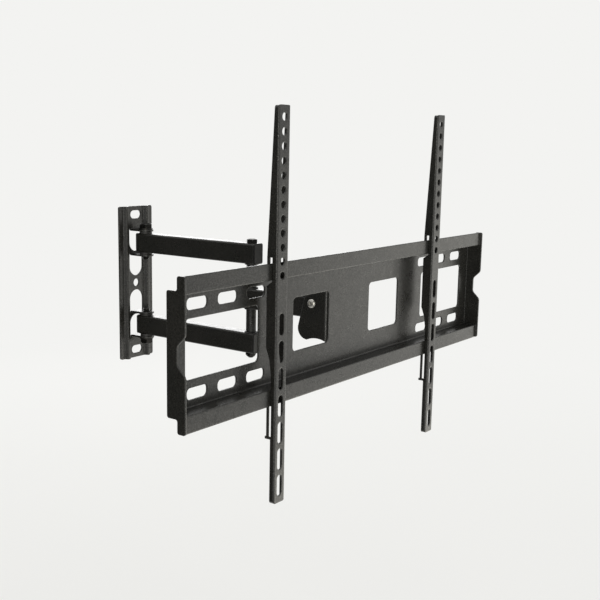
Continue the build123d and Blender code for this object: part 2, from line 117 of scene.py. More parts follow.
@dataclass(frozen=True)
class Surface:
    """A closed grid of points: rows, columns that wrap round, and three coordinates.

    Attributes:
        points: the grid, in metres.
        ends: how the first and last rows are closed.
    """

    points: np.ndarray
    ends: Ends = Ends.POLES

    def placed(self, place: Sequence[float], up: Sequence[float] = (0, 0, 1)) -> "Surface":
        """Turns the surface's Z axis to a direction and moves it.

        Args:
            place: where the origin goes.
            up: where the Z axis points.

        Returns:
            The surface in its place.
        """
        turn = np.array(Vector((0, 0, 1)).rotation_difference(Vector(up)).to_matrix())
        return Surface(self.points @ turn.T + np.array(place), self.ends)

    def mesh_arrays(self) -> tuple[np.ndarray, list[list[int]]]:
        """Works out the points and the faces, which point outwards.

        Neighbouring rows are joined by quads, and a pole is the middle of an end row. The faces are
        turned over where the enclosed volume, the sum of the triangles' triple products, is negative.

        Returns:
            The points, and each face's corners.
        """
        rows, columns, _ = self.points.shape
        points = self.points.reshape(-1, 3)
        grid = np.arange(rows * columns).reshape(rows, columns)
        turned = np.roll(grid, -1, axis=1)
        quads = np.stack([grid, turned, np.roll(turned, -1, axis=0), np.roll(grid, -1, axis=0)], axis=-1)
        fans = np.empty((0, 3), dtype=int)
        if self.ends is Ends.POLES:
            quads = quads[:-1]
            first, last = np.full(columns, rows * columns), np.full(columns, rows * columns + 1)
            fans = np.concatenate([(first, turned[0], grid[0]), (last, grid[-1], turned[-1])], axis=1).T
            points = np.vstack([points, self.points[0].mean(axis=0), self.points[-1].mean(axis=0)])
        quads = quads.reshape(-1, 4)
        a, b, c = np.moveaxis(points[np.vstack([quads[:, :3], quads[:, [0, 2, 3]], fans])], 1, 0)
        if np.einsum("ij,ij->", a, np.cross(b, c)) < 0:
            quads, fans = quads[:, ::-1], fans[:, ::-1]
        return points, quads.tolist() + fans.tolist()


def lathe(stations: Sequence[Station], ends: Ends = Ends.POLES) -> Surface:
    """Turns a profile round the Z axis.

    Each station is a radius and a height. Either may be one number, a value for every angle, or a block
    of rows of them, so that a hexagon or a thread is a radius that changes with the angle.

    Args:
        stations: the profile in order.
        ends: how the first and last rows are closed.

    Returns:
        The surface.
    """
    blocks = []
    for station in stations:
        rows = [np.atleast_2d(value) for value in station]
        radius, height, _ = np.broadcast_arrays(*rows, np.ones((1, COLUMNS)))
        blocks.append(np.stack([radius * np.cos(TURN), radius * np.sin(TURN), height], axis=-1))
    return Surface(np.concatenate(blocks, axis=0), ends)


def hexagon_radius(flats: float, turned: float = 0.0) -> np.ndarray:
    """Half the width across flats over the cosine of the angle to the nearest flat's middle."""
    return flats / 2 / np.cos(np.mod(TURN - turned, math.pi / 3) - math.pi / 6)


def ring(bore: float, outer: float, low: float, high: float, edge: float) -> Surface:
    """Turns a flat ring with its four edges turned off.

    Args:
        bore: the hole's radius.
        outer: the rim's radius.
        low: the lower face's height.
        high: the upper face's height.
        edge: the width of the turned-off edges.

    Returns:
        The ring about the Z axis.
    """
    under = [(bore, low + edge), (bore + edge, low), (outer - edge, low), (outer, low + edge)]
    over = [(outer, high - edge), (outer - edge, high), (bore + edge, high), (bore, high - edge)]
    return lathe(under + over, Ends.LOOP)


def rounded_rectangle(half_width: float, half_height: float, corner: float, arc: int = 12) -> np.ndarray:
    """Finds points round a rectangle with round corners: quarter circles about the corners' centres.

    Args:
        half_width: half the size along X.
        half_height: half the size along Z.
        corner: the corners' radius.
        arc: points in each corner.

    Returns:
        An array of X and Z.
    """
    quarter = np.arange(4)[:, None] * math.pi / 2
    angle = quarter + np.linspace(0, math.pi / 2, arc)[None, :]
    x = np.sign(np.cos(quarter + math.pi / 4)) * (half_width - corner) + corner * np.cos(angle)
    z = np.sign(np.sin(quarter + math.pi / 4)) * (half_height - corner) + corner * np.sin(angle)
    return np.stack([x.ravel(), z.ravel()], axis=-1)


# ---- nodes
def linear(hex_colour: str) -> Colour:
    """Turns an sRGB hex colour into the linear colour that shaders use.

    Args:
        hex_colour: six hex digits.

    Returns:
        Red, green and blue, and an alpha of 1.
    """
    values = [int(hex_colour[i : i + 2], 16) / 255 for i in (0, 2, 4)]
    straight = [v / 12.92 if v <= 0.04045 else ((v + 0.055) / 1.055) ** 2.4 for v in values]
    return (*straight, 1.0)


def add_node(
    tree: Tree, kind: str, settings: dict | None = None, result: str = "", **inputs: Socket | float | Colour
) -> Socket | None:
    """Adds a node to a tree with its settings and links.

    Args:
        tree: the material's or the world's tree.
        kind: the node's type, without the words that all types share.
        settings: the node's own properties.
        result: the identifier of the wanted output; the first one where this is empty.
        **inputs: input identifiers with spaces as underscores; a socket is linked and a value is set.

    Returns:
        The wanted output, or None for a node that has none.
    """
    node = tree.nodes.new(f"ShaderNode{kind}")
    for key, value in (settings or {}).items():
        setattr(node, key, value)
    sockets = {socket.identifier.replace(" ", "_"): socket for socket in node.inputs}
    for key, value in inputs.items():
        if isinstance(value, Socket):
            tree.links.new(value, sockets[key])
        else:
            sockets[key].default_value = value
    outputs = {socket.identifier: socket for socket in node.outputs}
    return outputs[result] if result else next(iter(outputs.values()), None)


def cleared_tree(owner: bpy.types.Material | bpy.types.World) -> Tree:
    """Turns on the nodes of a material or a world and empties its tree.

    Args:
        owner: the material or the world.

    Returns:
        The empty tree.
    """
    owner.use_nodes = True
    owner.node_tree.nodes.clear()
    return owner.node_tree


def seen_share(tree: Tree) -> Socket:
    """Builds a share: 1 for what the camera, a glossy surface or a clear one sees, otherwise 0.

    Args:
        tree: the material's or the world's tree.

    Returns:
        The largest of the three kinds of ray.
    """
    kinds = ("Camera", "Glossy", "Transmission")
    camera, glossy, through = (add_node(tree, "LightPath", result=f"Is {kind} Ray") for kind in kinds)
    seen = add_node(tree, "Math", {"operation": "MAXIMUM"}, Value=camera, Value_001=glossy)
    return add_node(tree, "Math", {"operation": "MAXIMUM"}, Value=seen, Value_001=through)


# ---- finishes
@dataclass(frozen=True)
class Pattern:
    """A noise that lies all over a surface. It gathers round a half, so its middle is stretched.

    Attributes:
        per_metre: how many patches lie in a metre.
        detail: how many finer layers lie on them.
        low: the noise that gives the first value.
        high: the noise that gives the second value.
        roughness: how strong the finer layers are.
    """

    per_metre: float
    detail: float
    low: float
    high: float
    roughness: float = 0.5

    def between(self, tree: Tree, place: Socket, first: float, second: float) -> Socket:
        """Adds the pattern as a value that runs from one number to another.

        Args:
            tree: the material's tree.
            place: the object coordinates.
            first: the value in its hollows.
            second: the value on its heights.

        Returns:
            The value.
        """
        noise = add_node(
            tree, "TexNoise", Vector=place, Scale=self.per_metre, Detail=self.detail,
            Roughness=self.roughness,
        )
        return add_node(
            tree, "MapRange", Value=noise, From_Min=self.low, From_Max=self.high, To_Min=first,
            To_Max=second,
        )


# Faint patches of colour 45 mm apart, rubbed places 12 mm apart, and scuffs along edges 4 mm apart.
PATCHES = Pattern(per_metre=22.0, detail=4.0, low=0.38, high=0.66)
RUBS = Pattern(per_metre=85.0, detail=5.0, low=0.35, high=0.65, roughness=0.65)
SCUFFS = Pattern(per_metre=280.0, detail=6.0, low=0.42, high=0.6, roughness=0.7)
# The share of its wear that an edge keeps between the scuffs.
QUIET_WEAR = 0.25
# The heights of the grain that give its darkest and its lightest place.
GRAIN_LOW, GRAIN_HIGH = 0.33, 0.67
# How alike the rounded and the plain direction of a face are where wear starts and where it is full.
WEAR_STARTS, WEAR_FULL = 0.995, 0.8
# How many rays find an edge, for its wear and for its rounding.
WEAR_SAMPLES, ROUND_SAMPLES = 4, 6
# How far an orange peel's bumps melt together, the share of a wider swell, and the relief's strength.
PEEL_SMOOTHNESS = 0.6
SWELL_SHARE = 0.5
BUMP_STRENGTH = 0.6


class Grain(Enum):
    """How the small relief of a finish lies: its noise's closeness, detail and roughness."""

    ORANGE_PEEL = (0.8, 2.0, 0.5)
    PLATED = (1.0, 5.0, 0.7)
    MOULDED = (1.0, 1.5, 0.4)


@dataclass(frozen=True)
class Finish:
    """One surface finish, in metres.

    Attributes:
        slot: the record's name for it.
        colour: the main colour as sRGB hex.
        cloud_colour: the colour of its faint large patches as sRGB hex.
        edge_colour: the colour along rubbed edges as sRGB hex.
        metallic: 1 for plated metal, 0 for paint and plastic.
        roughness: the middle roughness.
        spread: how far roughness wanders each way.
        grain: how the small relief lies.
        grain_size: from one bump to the next.
        relief: the bumps' height.
        wear: how strongly the edge colour shows.
        edge_radius: how far the shading rounds each edge.
        speckle: how strongly the grain lightens and darkens the colour and the shine.
        ior: the index of refraction; a metal keeps the default.
        shine: how strongly it mirrors; a half is the strength that its ior gives.
    """

    slot: str
    colour: str
    cloud_colour: str
    edge_colour: str
    metallic: float
    roughness: float
    spread: float
    grain: Grain
    grain_size: float
    relief: float
    wear: float
    edge_radius: float
    speckle: float
    ior: float = 1.5
    shine: float = 0.5

    def grain_height(self, tree: Tree, place: Socket) -> Socket:
        """Builds the height of the grain: a noise, half of it round cells where it is an orange peel.

        Args:
            tree: the material's tree.
            place: the object coordinates.

        Returns:
            A height between 0 and 1.
        """
        closeness, detail, roughness = self.grain.value
        noise = add_node(
            tree, "TexNoise", Vector=place, Scale=closeness / self.grain_size, Detail=detail,
            Roughness=roughness,
        )
        if self.grain is not Grain.ORANGE_PEEL:
            return noise
        cells = add_node(
            tree, "TexVoronoi", {"feature": "SMOOTH_F1"}, Vector=place, Scale=1 / self.grain_size,
            Smoothness=PEEL_SMOOTHNESS,
        )
        return add_node(tree, "Mix", Factor_Float=SWELL_SHARE, A_Float=cells, B_Float=noise)

    def grained(self, tree: Tree, height: Socket, middle: float) -> Socket:
        """Builds a value that swings about its middle with the grain, by the speckle's share of it.

        Args:
            tree: the material's tree.
            height: the grain's height.
            middle: the value half way up.

        Returns:
            The value.
        """
        least, most = middle * (1 - self.speckle), middle * (1 + self.speckle)
        return add_node(
            tree, "MapRange", Value=height, From_Min=GRAIN_LOW, From_Max=GRAIN_HIGH, To_Min=least,
            To_Max=most,
        )

    def worn_colour(self, tree: Tree, place: Socket, height: Socket) -> Socket:
        """Builds the colour: faint patches, a speckle that follows the grain, and rubbed edges.

        An edge is where the direction that a round edge would have turns away from the face's own.

        Args:
            tree: the material's tree.
            place: the object coordinates.
            height: the grain's height.

        Returns:
            The colour.
        """
        base = add_node(
            tree, "Mix", {"data_type": "RGBA"}, "Result_Color",
            Factor_Float=PATCHES.between(tree, place, 0.0, 1.0),
            A_Color=linear(self.colour), B_Color=linear(self.cloud_colour),
        )
        speck = self.grained(tree, height, 1.0)
        speckled = add_node(tree, "VectorMath", {"operation": "SCALE"}, Vector=base, Scale=speck)
        rounded = add_node(tree, "Bevel", {"samples": WEAR_SAMPLES}, Radius=self.edge_radius)
        plain = add_node(tree, "NewGeometry", result="Normal")
        likeness = add_node(
            tree, "VectorMath", {"operation": "DOT_PRODUCT"}, "Value", Vector=rounded, Vector_001=plain
        )
        edge = add_node(tree, "MapRange", Value=likeness, From_Min=WEAR_STARTS, From_Max=WEAR_FULL)
        scuff = SCUFFS.between(tree, place, QUIET_WEAR * self.wear, self.wear)
        share = add_node(tree, "Math", {"operation": "MULTIPLY"}, Value=edge, Value_001=scuff)
        return add_node(
            tree, "Mix", {"data_type": "RGBA"}, "Result_Color", Factor_Float=share, A_Color=speckled,
            B_Color=linear(self.edge_colour),
        )

    def material(self) -> bpy.types.Material:
        """Builds the finish's procedural material.

        Returns:
            The material, named for its slot.
        """
        material = bpy.data.materials.new(self.slot)
        tree = cleared_tree(material)
        place = add_node(tree, "TexCoord", result="Object")
        height = self.grain_height(tree, place)
        roughness = RUBS.between(tree, place, self.roughness - self.spread, self.roughness + self.spread)
        rounded = add_node(tree, "Bevel", {"samples": ROUND_SAMPLES}, Radius=self.edge_radius)
        bump = add_node(
            tree, "Bump", Height=height, Strength=BUMP_STRENGTH, Distance=self.relief, Normal=rounded
        )
        shader = add_node(
            tree, "BsdfPrincipled", Base_Color=self.worn_colour(tree, place, height),
            Metallic=self.metallic, Roughness=roughness, IOR=self.ior, Specular_IOR_Level=self.shine,
            Normal=bump,
        )
        # The socket keeps the plain shine for whatever drops the link.
        shine = self.grained(tree, height, self.shine)
        tree.links.new(shine, shader.node.inputs["Specular IOR Level"])
        add_node(tree, "OutputMaterial", Surface=shader)
        return material


# Powder coat: black polyester powder melted on to steel in an oven. The eye sees satin black with a
# faint orange peel that lights up where a lamp mirrors in it, and slightly greyer outer edges.
# Its peel is about 0.5 mm from bump to bump; it is drawn at 1.2 mm so that it shows.
POWDER_COAT = Finish(
    slot="powder_coat", colour="191916", cloud_colour="1f1e1b", edge_colour="44433e", metallic=0.0,
    roughness=0.3, spread=0.04, grain=Grain.ORANGE_PEEL, grain_size=0.0012, relief=0.00004, wear=0.22,
    edge_radius=0.0018, speckle=0.34,
)
# Black zinc: plated and passivated fasteners. The eye sees dark metal with small sharp highlights.
# Its crystals are far finer than 0.1 mm; they are drawn at 0.5 mm so that they show.
BLACK_ZINC = Finish(
    slot="black_steel", colour="343331", cloud_colour="2a2928", edge_colour="807c74", metallic=1.0,
    roughness=0.36, spread=0.08, grain=Grain.PLATED, grain_size=0.0005, relief=0.000006, wear=0.5,
    edge_radius=0.0002, speckle=0.1,
)
# Bright zinc: plating with a clear passivation. The eye sees cool silver, cloudy at a small scale.
# Its crystals are far finer than 0.1 mm; they are drawn at 0.4 mm so that they show.
BRIGHT_ZINC = Finish(
    slot="zinc_steel", colour="b3b1ab", cloud_colour="979692", edge_colour="d2d0ca", metallic=1.0,
    roughness=0.34, spread=0.08, grain=Grain.PLATED, grain_size=0.0004, relief=0.000005, wear=0.4,
    edge_radius=0.0002, speckle=0.08,
)
# Nylon: turned washers, bushes and locking rings. The eye sees dull black with a waxy edge. Its
# tool marks are about 0.1 mm apart; they are drawn at 0.6 mm so that they show.
NYLON = Finish(
    slot="nylon", colour="252423", cloud_colour="2d2c2b", edge_colour="4b4945", metallic=0.0,
    roughness=0.55, spread=0.06, grain=Grain.MOULDED, grain_size=0.0006, relief=0.000008, wear=0.2,
    edge_radius=0.0002, speckle=0.06, ior=1.53,
)
# Polypropylene: injection moulded tube caps with a spark-eroded mould texture. The eye sees a dull
# dark grey that scatters light evenly. The texture is about 0.2 mm; it is drawn at 0.6 mm.
POLYPROPYLENE = Finish(
    slot="cap_plastic", colour="131312", cloud_colour="181817", edge_colour="3c3a36", metallic=0.0,
    roughness=0.42, spread=0.05, grain=Grain.MOULDED, grain_size=0.0006, relief=0.000014, wear=0.25,
    edge_radius=0.0004, speckle=0.1, ior=1.49, shine=0.25,
)
FINISHES = (POWDER_COAT, BLACK_ZINC, BRIGHT_ZINC, NYLON, POLYPROPYLENE)


# ---- pieces
def add_object(name: str, data: bpy.types.ID) -> bpy.types.Object:
    """Makes an object and links it to the scene.

    Args:
        name: the object's name.
        data: its mesh, lamp or camera.

    Returns:
        The object, at the origin.
    """
    linked = bpy.data.objects.new(name, data)
    bpy.context.scene.collection.objects.link(linked)
    return linked


class Bench:
    """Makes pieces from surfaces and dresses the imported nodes."""

    def __init__(self, frame: dict) -> None:
        """Builds the materials.
        """
        self.materials = {finish.slot: finish.material() for finish in FINISHES}
        self.nodes = frame["nodes"]
        self.slots = {row["node"]: row["material_slot"] for row in frame["record"]["subparts"]}

    def dress_nodes(self) -> None:
        """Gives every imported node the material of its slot."""
        for name, node in self.nodes.items():
            node.data.materials.clear()
            node.data.materials.append(self.materials[self.slots[name]])
            LOG.info("%s: packed shape, %s", name, self.slots[name])

    def piece(
        self, name: str, surface: Surface, finish: Finish, body: str, stands_for: str | None = None
    ) -> None:
        """Makes one piece from a closed surface.

        Args:
            name: the piece's name.
            surface: its closed surface, already in its place.
            finish: its finish.
            body: the body it moves with.
            stands_for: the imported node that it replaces, if any.
        """
        points, faces = surface.mesh_arrays()
        mesh = bpy.data.meshes.new(name)
        mesh.from_pydata(points.tolist(), [], faces)
        mesh.shade_smooth()
        mesh.set_sharp_from_angle(angle=SHARP_ANGLE)
        mesh.materials.append(self.materials[finish.slot])
        piece = add_object(name, mesh)
        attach(piece, body)
        if stands_for:
            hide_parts(stands_for)
        LOG.info("%s: %d faces, %s, on %s", name, len(faces), finish.slot, body)


@dataclass(frozen=True)
class Thread:
    """A screw thread and the plain shank above it, in metres, down from Z = 0.

    Attributes:
        radius: the crest's radius, which the shank has too.
        pitch: the distance between crests.
        drawn: the length of thread drawn, up from the tip.
        depth: from crest to root, in pitches.
        flank: how steeply the radius falls beside a crest.
        crest: how much of that fall a crest's flat takes off.
        cone: how far inside the crest the tip's turned-off edge starts, in pitches.
        tip: how far inside the crest the tip's flat face ends, in pitches.
        steps: rows in one pitch.
    """

    radius: float
    pitch: float
    drawn: float
    depth: float = 0.6
    flank: float = 1.25
    crest: float = 0.1
    cone: float = 0.75
    tip: float = 0.85
    steps: int = 12

    def stations(self, length: float) -> list[Station]:
        """Works out the profile from the tip up to Z = 0.

        The radius falls and rises once a pitch, and the phase runs round with the angle. The tip's edge
        is turned off at 45 degrees.

        Args:
            length: from Z = 0 down to the tip.

        Returns:
            The tip's face, the thread's rows, and both ends of the shank.
        """
        low, high = -length, self.drawn - length
        heights = np.arange(low, high, self.pitch / self.steps)[:, None]
        phase = np.mod(heights / self.pitch - TURN / math.tau, 1.0)
        fall = np.clip(np.abs(phase * 2 - 1) * self.flank - self.crest, 0, 1)
        cone = self.radius - self.pitch * self.cone + (heights - low)
        rows = np.minimum(self.radius - self.depth * self.pitch * fall, cone)
        return [
            (self.radius - self.pitch * self.tip, low),
            (rows, heights),
            (self.radius, high),
            (self.radius, 0.0),
        ]


@dataclass(frozen=True)
class HexBolt:
    """A hexagon head bolt in metres, seated at Z = 0 with its head above.

    Attributes:
        thread: its thread and shank.
        flats: the head's width across flats.
        head: the head's height.
        length: from the seat to the tip.
        washer_face: the height of the round face under the head.
        dish_depth: how far the head's middle is sunk.
        dish: the rim, the foot and the middle of the sunk part, as shares of the round face.
        turned: how far the spanner left the hexagon turned from its corner on X, in radians.
    """

    thread: Thread
    flats: float
    head: float
    length: float
    washer_face: float = 0.0004
    dish_depth: float = 0.0004
    dish: tuple[float, float, float] = (0.8, 0.68, 0.2)
    turned: float = math.radians(-15)

    def surface(self) -> Surface:
        """Works out the bolt: tip, thread, shank, washer face, hexagon, turned-off top and shallow dish.

        Returns:
            The bolt about the Z axis. The head's top edge drops at 30 degrees outside its round face.
        """
        corner = hexagon_radius(self.flats, self.turned)
        face = FACE_SHARE * self.flats
        side_top = self.head - (corner - face) * CHAMFER_SLOPE
        rim, foot, middle = self.dish
        stations = [
            *self.thread.stations(self.length),
            (face, 0.0),
            (face, self.washer_face),
            (corner, self.washer_face),
            (corner, side_top),
            (face, self.head),
            (rim * face, self.head),
            (foot * face, self.head - self.dish_depth),
            (middle * face, self.head - self.dish_depth),
        ]
        return lathe(stations)


@dataclass(frozen=True)
class LockNut:
    """A lock nut in metres, seated at Z = 0, with a nylon ring in a rolled collar at its free end.

    Attributes:
        bore: the hole's radius.
        flats: the width across flats.
        height: from the seat to the collar's end.
        shoulder: where the hexagon ends, as a share of the height.
        collar: the collar's radius, as a share of the flats.
        roll: the radius of the collar's rolled edge, as a share of the flats.
        lip: where the roll's lip ends, as a share of the way from the bore to the collar.
        ring_low: where the ring starts, as a share of the height.
        ring_high: where the ring ends, as a share of the height.
        ring_edge: the width of the ring's turned-off edges, as a share of the height.
    """

    bore: float
    flats: float
    height: float
    shoulder: float = 0.66
    collar: float = 0.455
    roll: float = 0.1
    lip: float = 0.45
    ring_low: float = 0.72
    ring_high: float = 0.95
    ring_edge: float = 0.04

    def lip_radius(self) -> float:
        """Works out the radius that the rolled lip leaves open."""
        return self.bore + self.lip * (self.collar * self.flats - self.bore)

    def body(self) -> Surface:
        """Works out the metal: a hexagon turned off at both ends, and a collar rolled over its ring.

        Returns:
            The metal about the Z axis.
        """
        corner = hexagon_radius(self.flats)
        face = FACE_SHARE * self.flats
        drop = (corner - face) * CHAMFER_SLOPE
        shoulder = self.shoulder * self.height
        collar, roll = self.collar * self.flats, self.roll * self.flats
        lip, floor = self.lip_radius(), self.ring_low * self.height
        rolled = [
            (collar - roll * (1 - math.cos(bend)), self.height - roll * (1 - math.sin(bend)))
            for bend in np.radians([0, 30, 60, 90])
        ]
        stations = [
            (self.bore, 0.0),
            (face, 0.0),
            (corner, drop),
            (corner, shoulder - drop),
            (face, shoulder),
            (collar, shoulder),
            *rolled,
            (lip, self.height),
            (lip, floor),
            (self.bore, floor),
        ]
        return lathe(stations, Ends.LOOP)

    def insert(self) -> Surface:
        """Works out the nylon ring, just below the rolled lip."""
        low, high, edge = self.height * np.array([self.ring_low, self.ring_high, self.ring_edge])
        return ring(self.bore, self.lip_radius(), low, high, edge)


@dataclass(frozen=True)
class ButtonBolt:
    """A domed bolt with a hexagon socket, in metres, seated at Z = 0 with its dome above.

    Attributes:
        thread: its thread and shank.
        rim: the dome's radius.
        dome: the dome's height.
        socket: the socket's width across flats.
        socket_depth: the socket's depth.
        length: from the seat to the tip.
        rim_height: the height of the dome's upright rim.
        dome_rows: rows over the dome.
        entry: how deep the socket's turned-in entry is, as a share of its radius.
        wall: how wide the socket is below its entry, as a share of its radius.
        drill: how wide the hollow in the socket's floor is, as a share of its radius.
        drill_depth: the depth of that hollow.
    """

    thread: Thread
    rim: float
    dome: float
    socket: float
    socket_depth: float
    length: float
    rim_height: float = 0.0003
    dome_rows: int = 9
    entry: float = 0.07
    wall: float = 0.93
    drill: float = 0.3
    drill_depth: float = 0.0003

    def surface(self) -> Surface:
        """Works out the bolt. The dome is a quarter ellipse on its rim, cut by the hexagon socket.

        Returns:
            The bolt about the Z axis.
        """
        socket = hexagon_radius(self.socket)
        share = np.linspace(0, 1, self.dome_rows)[:, None]
        radius = self.rim + (socket - self.rim) * share
        height = self.rim_height + (self.dome - self.rim_height) * np.sqrt(1 - (radius / self.rim) ** 2)
        floor = self.dome - self.socket_depth
        stations = [
            *self.thread.stations(self.length),
            (self.rim, 0.0),
            (radius, height),
            (self.wall * socket, height[-1] - self.entry * socket),
            (self.wall * socket, floor),
            (self.drill * socket, floor - self.drill_depth),
        ]
        return lathe(stations)


# ---- sub-assemblies
@dataclass(frozen=True)
class ShoulderPivots:
    """The two bolts and washers that hold the arms in the wall plate's tabs.

    Attributes:
        thread: the bolts' thread and shank.
        flats: the heads' width across flats.
        head: the heads' height.
        length: from the seats to the tips.
        bore: the radius of the washers' holes.
        thickness: the washers' thickness.
        washer_edge: the width of the washers' turned-off edges.
    """

    thread: Thread = Thread(radius=0.005, pitch=0.0015, drawn=0.012)
    flats: float = 0.017
    head: float = 0.0064
    length: float = 0.045
    bore: float = 0.0051
    thickness: float = 0.002
    washer_edge: float = 0.00025

    def build(self, bench: Bench) -> None:
        """Makes the upper bolt and washer and their mirror images below.

        Args:
            bench: makes the pieces.
        """
        low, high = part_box("shoulder_washers")
        y, rim = (low.y + high.y) / 2, (high.y - low.y) / 2
        bolt = HexBolt(self.thread, self.flats, self.head, self.length).surface()
        washer = ring(self.bore, rim, -self.thickness, 0.0, self.washer_edge)
        for name, side in (("upper", 1), ("lower", -1)):
            place, up = (0, y, side * high.z), (0, 0, side)
            head, disc = bolt.placed(place, up), washer.placed(place, up)
            bench.piece(f"{name}_shoulder_bolt", head, BLACK_ZINC, "wall_unit", "shoulder_bolts")
            bench.piece(f"{name}_shoulder_washer", disc, BLACK_ZINC, "wall_unit", "shoulder_washers")


@dataclass(frozen=True)
class UprightPivot:
    """The long upright bolt of a joint, and its lock nut below.

    Attributes:
        joint: what the names of its nodes and pieces start with.
        body: the body that it moves with.
        thread: the bolt's thread and shank.
        flats: the head's and the nut's width across flats.
        head: the head's height.
        nut_bore: the radius of the nut's hole.
    """

    joint: str
    body: str
    thread: Thread
    flats: float
    head: float
    nut_bore: float

    def build(self, bench: Bench) -> None:
        """Makes the bolt, the nut and the nut's ring.

        Args:
            bench: makes the pieces.
        """
        bolt_node, nut_node = f"{self.joint}_bolt", f"{self.joint}_nut"
        low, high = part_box(bolt_node)
        nut_low, nut_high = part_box(nut_node)
        middle_y = (nut_low.y + nut_high.y) / 2
        seat = high.z - self.head
        top, under, down = (0, middle_y, seat), (0, middle_y, nut_high.z), (0, 0, -1)
        bolt = HexBolt(self.thread, self.flats, self.head, seat - low.z).surface().placed(top)
        nut = LockNut(self.nut_bore, self.flats, nut_high.z - nut_low.z)
        metal, lock = nut.body().placed(under, down), nut.insert().placed(under, down)
        bench.piece(f"{bolt_node}_threaded", bolt, BLACK_ZINC, self.body, bolt_node)
        bench.piece(f"{nut_node}_body", metal, BLACK_ZINC, self.body, nut_node)
        bench.piece(f"{nut_node}_ring", lock, NYLON, self.body, nut_node)


# The elbow's pivot goes through both arms and the forearm, the swivel's through the forearm's end.
ELBOW_PIVOT = UprightPivot(
    joint="elbow", body="arm_pair", thread=Thread(radius=0.004, pitch=0.00125, drawn=0.012),
    flats=0.013, head=0.0053, nut_bore=0.0041,
)
SWIVEL_PIVOT = UprightPivot(
    joint="swivel", body="swivel_head", thread=Thread(radius=0.005, pitch=0.0015, drawn=0.014),
    flats=0.017, head=0.0064, nut_bore=0.0051,
)


@dataclass(frozen=True)
class TiltPivots:
    """The two domed bolts and lock nuts that the pressed plate tilts on.

    Attributes:
        thread: the bolts' thread and shank.
        dome: the domes' height.
        socket: the sockets' width across flats.
        socket_depth: the sockets' depth.
        nut_bore: the radius of the nuts' holes.
        nut_flats: the nuts' width across flats.
        nut_height: the nuts' height.
        bolt_end: how far the bolts come out of the nuts.
    """

    thread: Thread = Thread(radius=0.003, pitch=0.001, drawn=0.012)
    dome: float = 0.0033
    socket: float = 0.004
    socket_depth: float = 0.0018
    nut_bore: float = 0.0031
    nut_flats: float = 0.010
    nut_height: float = 0.005
    bolt_end: float = 0.001

    def build(self, bench: Bench) -> None:
        """Makes a bolt, a nut and a ring on each side.

        Args:
            bench: makes the pieces.
        """
        low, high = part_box("tilt_bolts")
        nut_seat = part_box("tilt_nuts")[1].x
        y, z = (low.y + high.y) / 2, (low.z + high.z) / 2
        rim, seat = (high.y - low.y) / 2, high.x - self.dome
        length = seat - (nut_seat - self.nut_height - self.bolt_end)
        bolt = ButtonBolt(self.thread, rim, self.dome, self.socket, self.socket_depth, length).surface()
        nut = LockNut(self.nut_bore, self.nut_flats, self.nut_height)
        body = "swivel_head"
        for name, side in (("left", -1), ("right", 1)):
            head = bolt.placed((side * seat, y, z), (side, 0, 0))
            place, inward = (side * nut_seat, y, z), (-side, 0, 0)
            metal, lock = nut.body().placed(place, inward), nut.insert().placed(place, inward)
            bench.piece(f"{name}_tilt_bolt", head, BRIGHT_ZINC, body, "tilt_bolts")
            bench.piece(f"{name}_tilt_nut_body", metal, BRIGHT_ZINC, body, "tilt_nuts")
            bench.piece(f"{name}_tilt_nut_ring", lock, NYLON, body, "tilt_nuts")


@dataclass(frozen=True)
class TubeCaps:
    """The moulded caps in the ends of the three tubes.

    Attributes:
        corner: the radius of the caps' corners.
        plate: the thickness of the part outside the tube.
        plug: how far the plug goes into the tube.
        wall: the tube's wall, which the plug clears.
        round_edge: the radius of the front edge.
        round_rows: rows over the front edge.
        frame: how wide the raised frame round the face is.
        sink: how far the face is sunk.
    """

    corner: float = 0.0025
    plate: float = 0.002
    plug: float = 0.0025
    wall: float = 0.0016
    round_edge: float = 0.0008
    round_rows: int = 6
    frame: float = 0.0024
    sink: float = 0.00015

    def surface(self, half_width: float, half_height: float) -> Surface:
        """Works out one cap: a plug, a plate with a rounded front edge and a slightly sunk face.

        Each row is a rounded rectangle at a depth. The front edge's rows follow a quarter circle, and
        the last two lie in the sunk face.

        Args:
            half_width: half the tube's width.
            half_height: half the tube's height.

        Returns:
            The cap, with its face at zero towards +Z and its width along X.
        """
        plug = (half_width - self.wall, half_height - self.wall, self.corner - self.wall)
        rows = [(*plug, -self.plate - self.plug), (*plug, -self.plate)]
        rows.append((half_width, half_height, self.corner, -self.plate))
        for bend in np.linspace(0, math.pi / 2, self.round_rows):
            inset = self.round_edge * (1 - math.cos(bend))
            depth = self.round_edge * (math.sin(bend) - 1)
            rows.append((half_width - inset, half_height - inset, self.corner - inset, depth))
        rows.append((half_width - self.frame, half_height - self.frame, self.corner / 4, -self.sink))
        rows.append((half_width / 4, half_height / 2, self.corner / 4, -self.sink))
        outlines = [(rounded_rectangle(w, h, c), depth) for w, h, c, depth in rows]
        return Surface(np.stack([np.column_stack([flat, np.full(len(flat), d)]) for flat, d in outlines]))

    def build(self, bench: Bench) -> None:
        """Makes the caps of both arms and the forearm.

        Args:
            bench: makes the pieces.
        """
        tubes = (("upper_arm", "arm_pair"), ("lower_arm", "arm_pair"), ("forearm", "forearm_link"))
        for tube, body in tubes:
            low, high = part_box(f"{tube}_caps")
            z = (low.z + high.z) / 2
            cap = self.surface((high.x - low.x) / 2, (high.z - low.z) / 2)
            x, up, depth = np.moveaxis(cap.points, -1, 0)
            for end, face_y, outward in (("wall_end", high.y, 1), ("front_end", low.y, -1)):
                turned = Surface(np.stack([x, face_y + outward * depth, z + up], axis=-1))
                bench.piece(f"{tube}_{end}_cap", turned, POLYPROPYLENE, body, f"{tube}_caps")


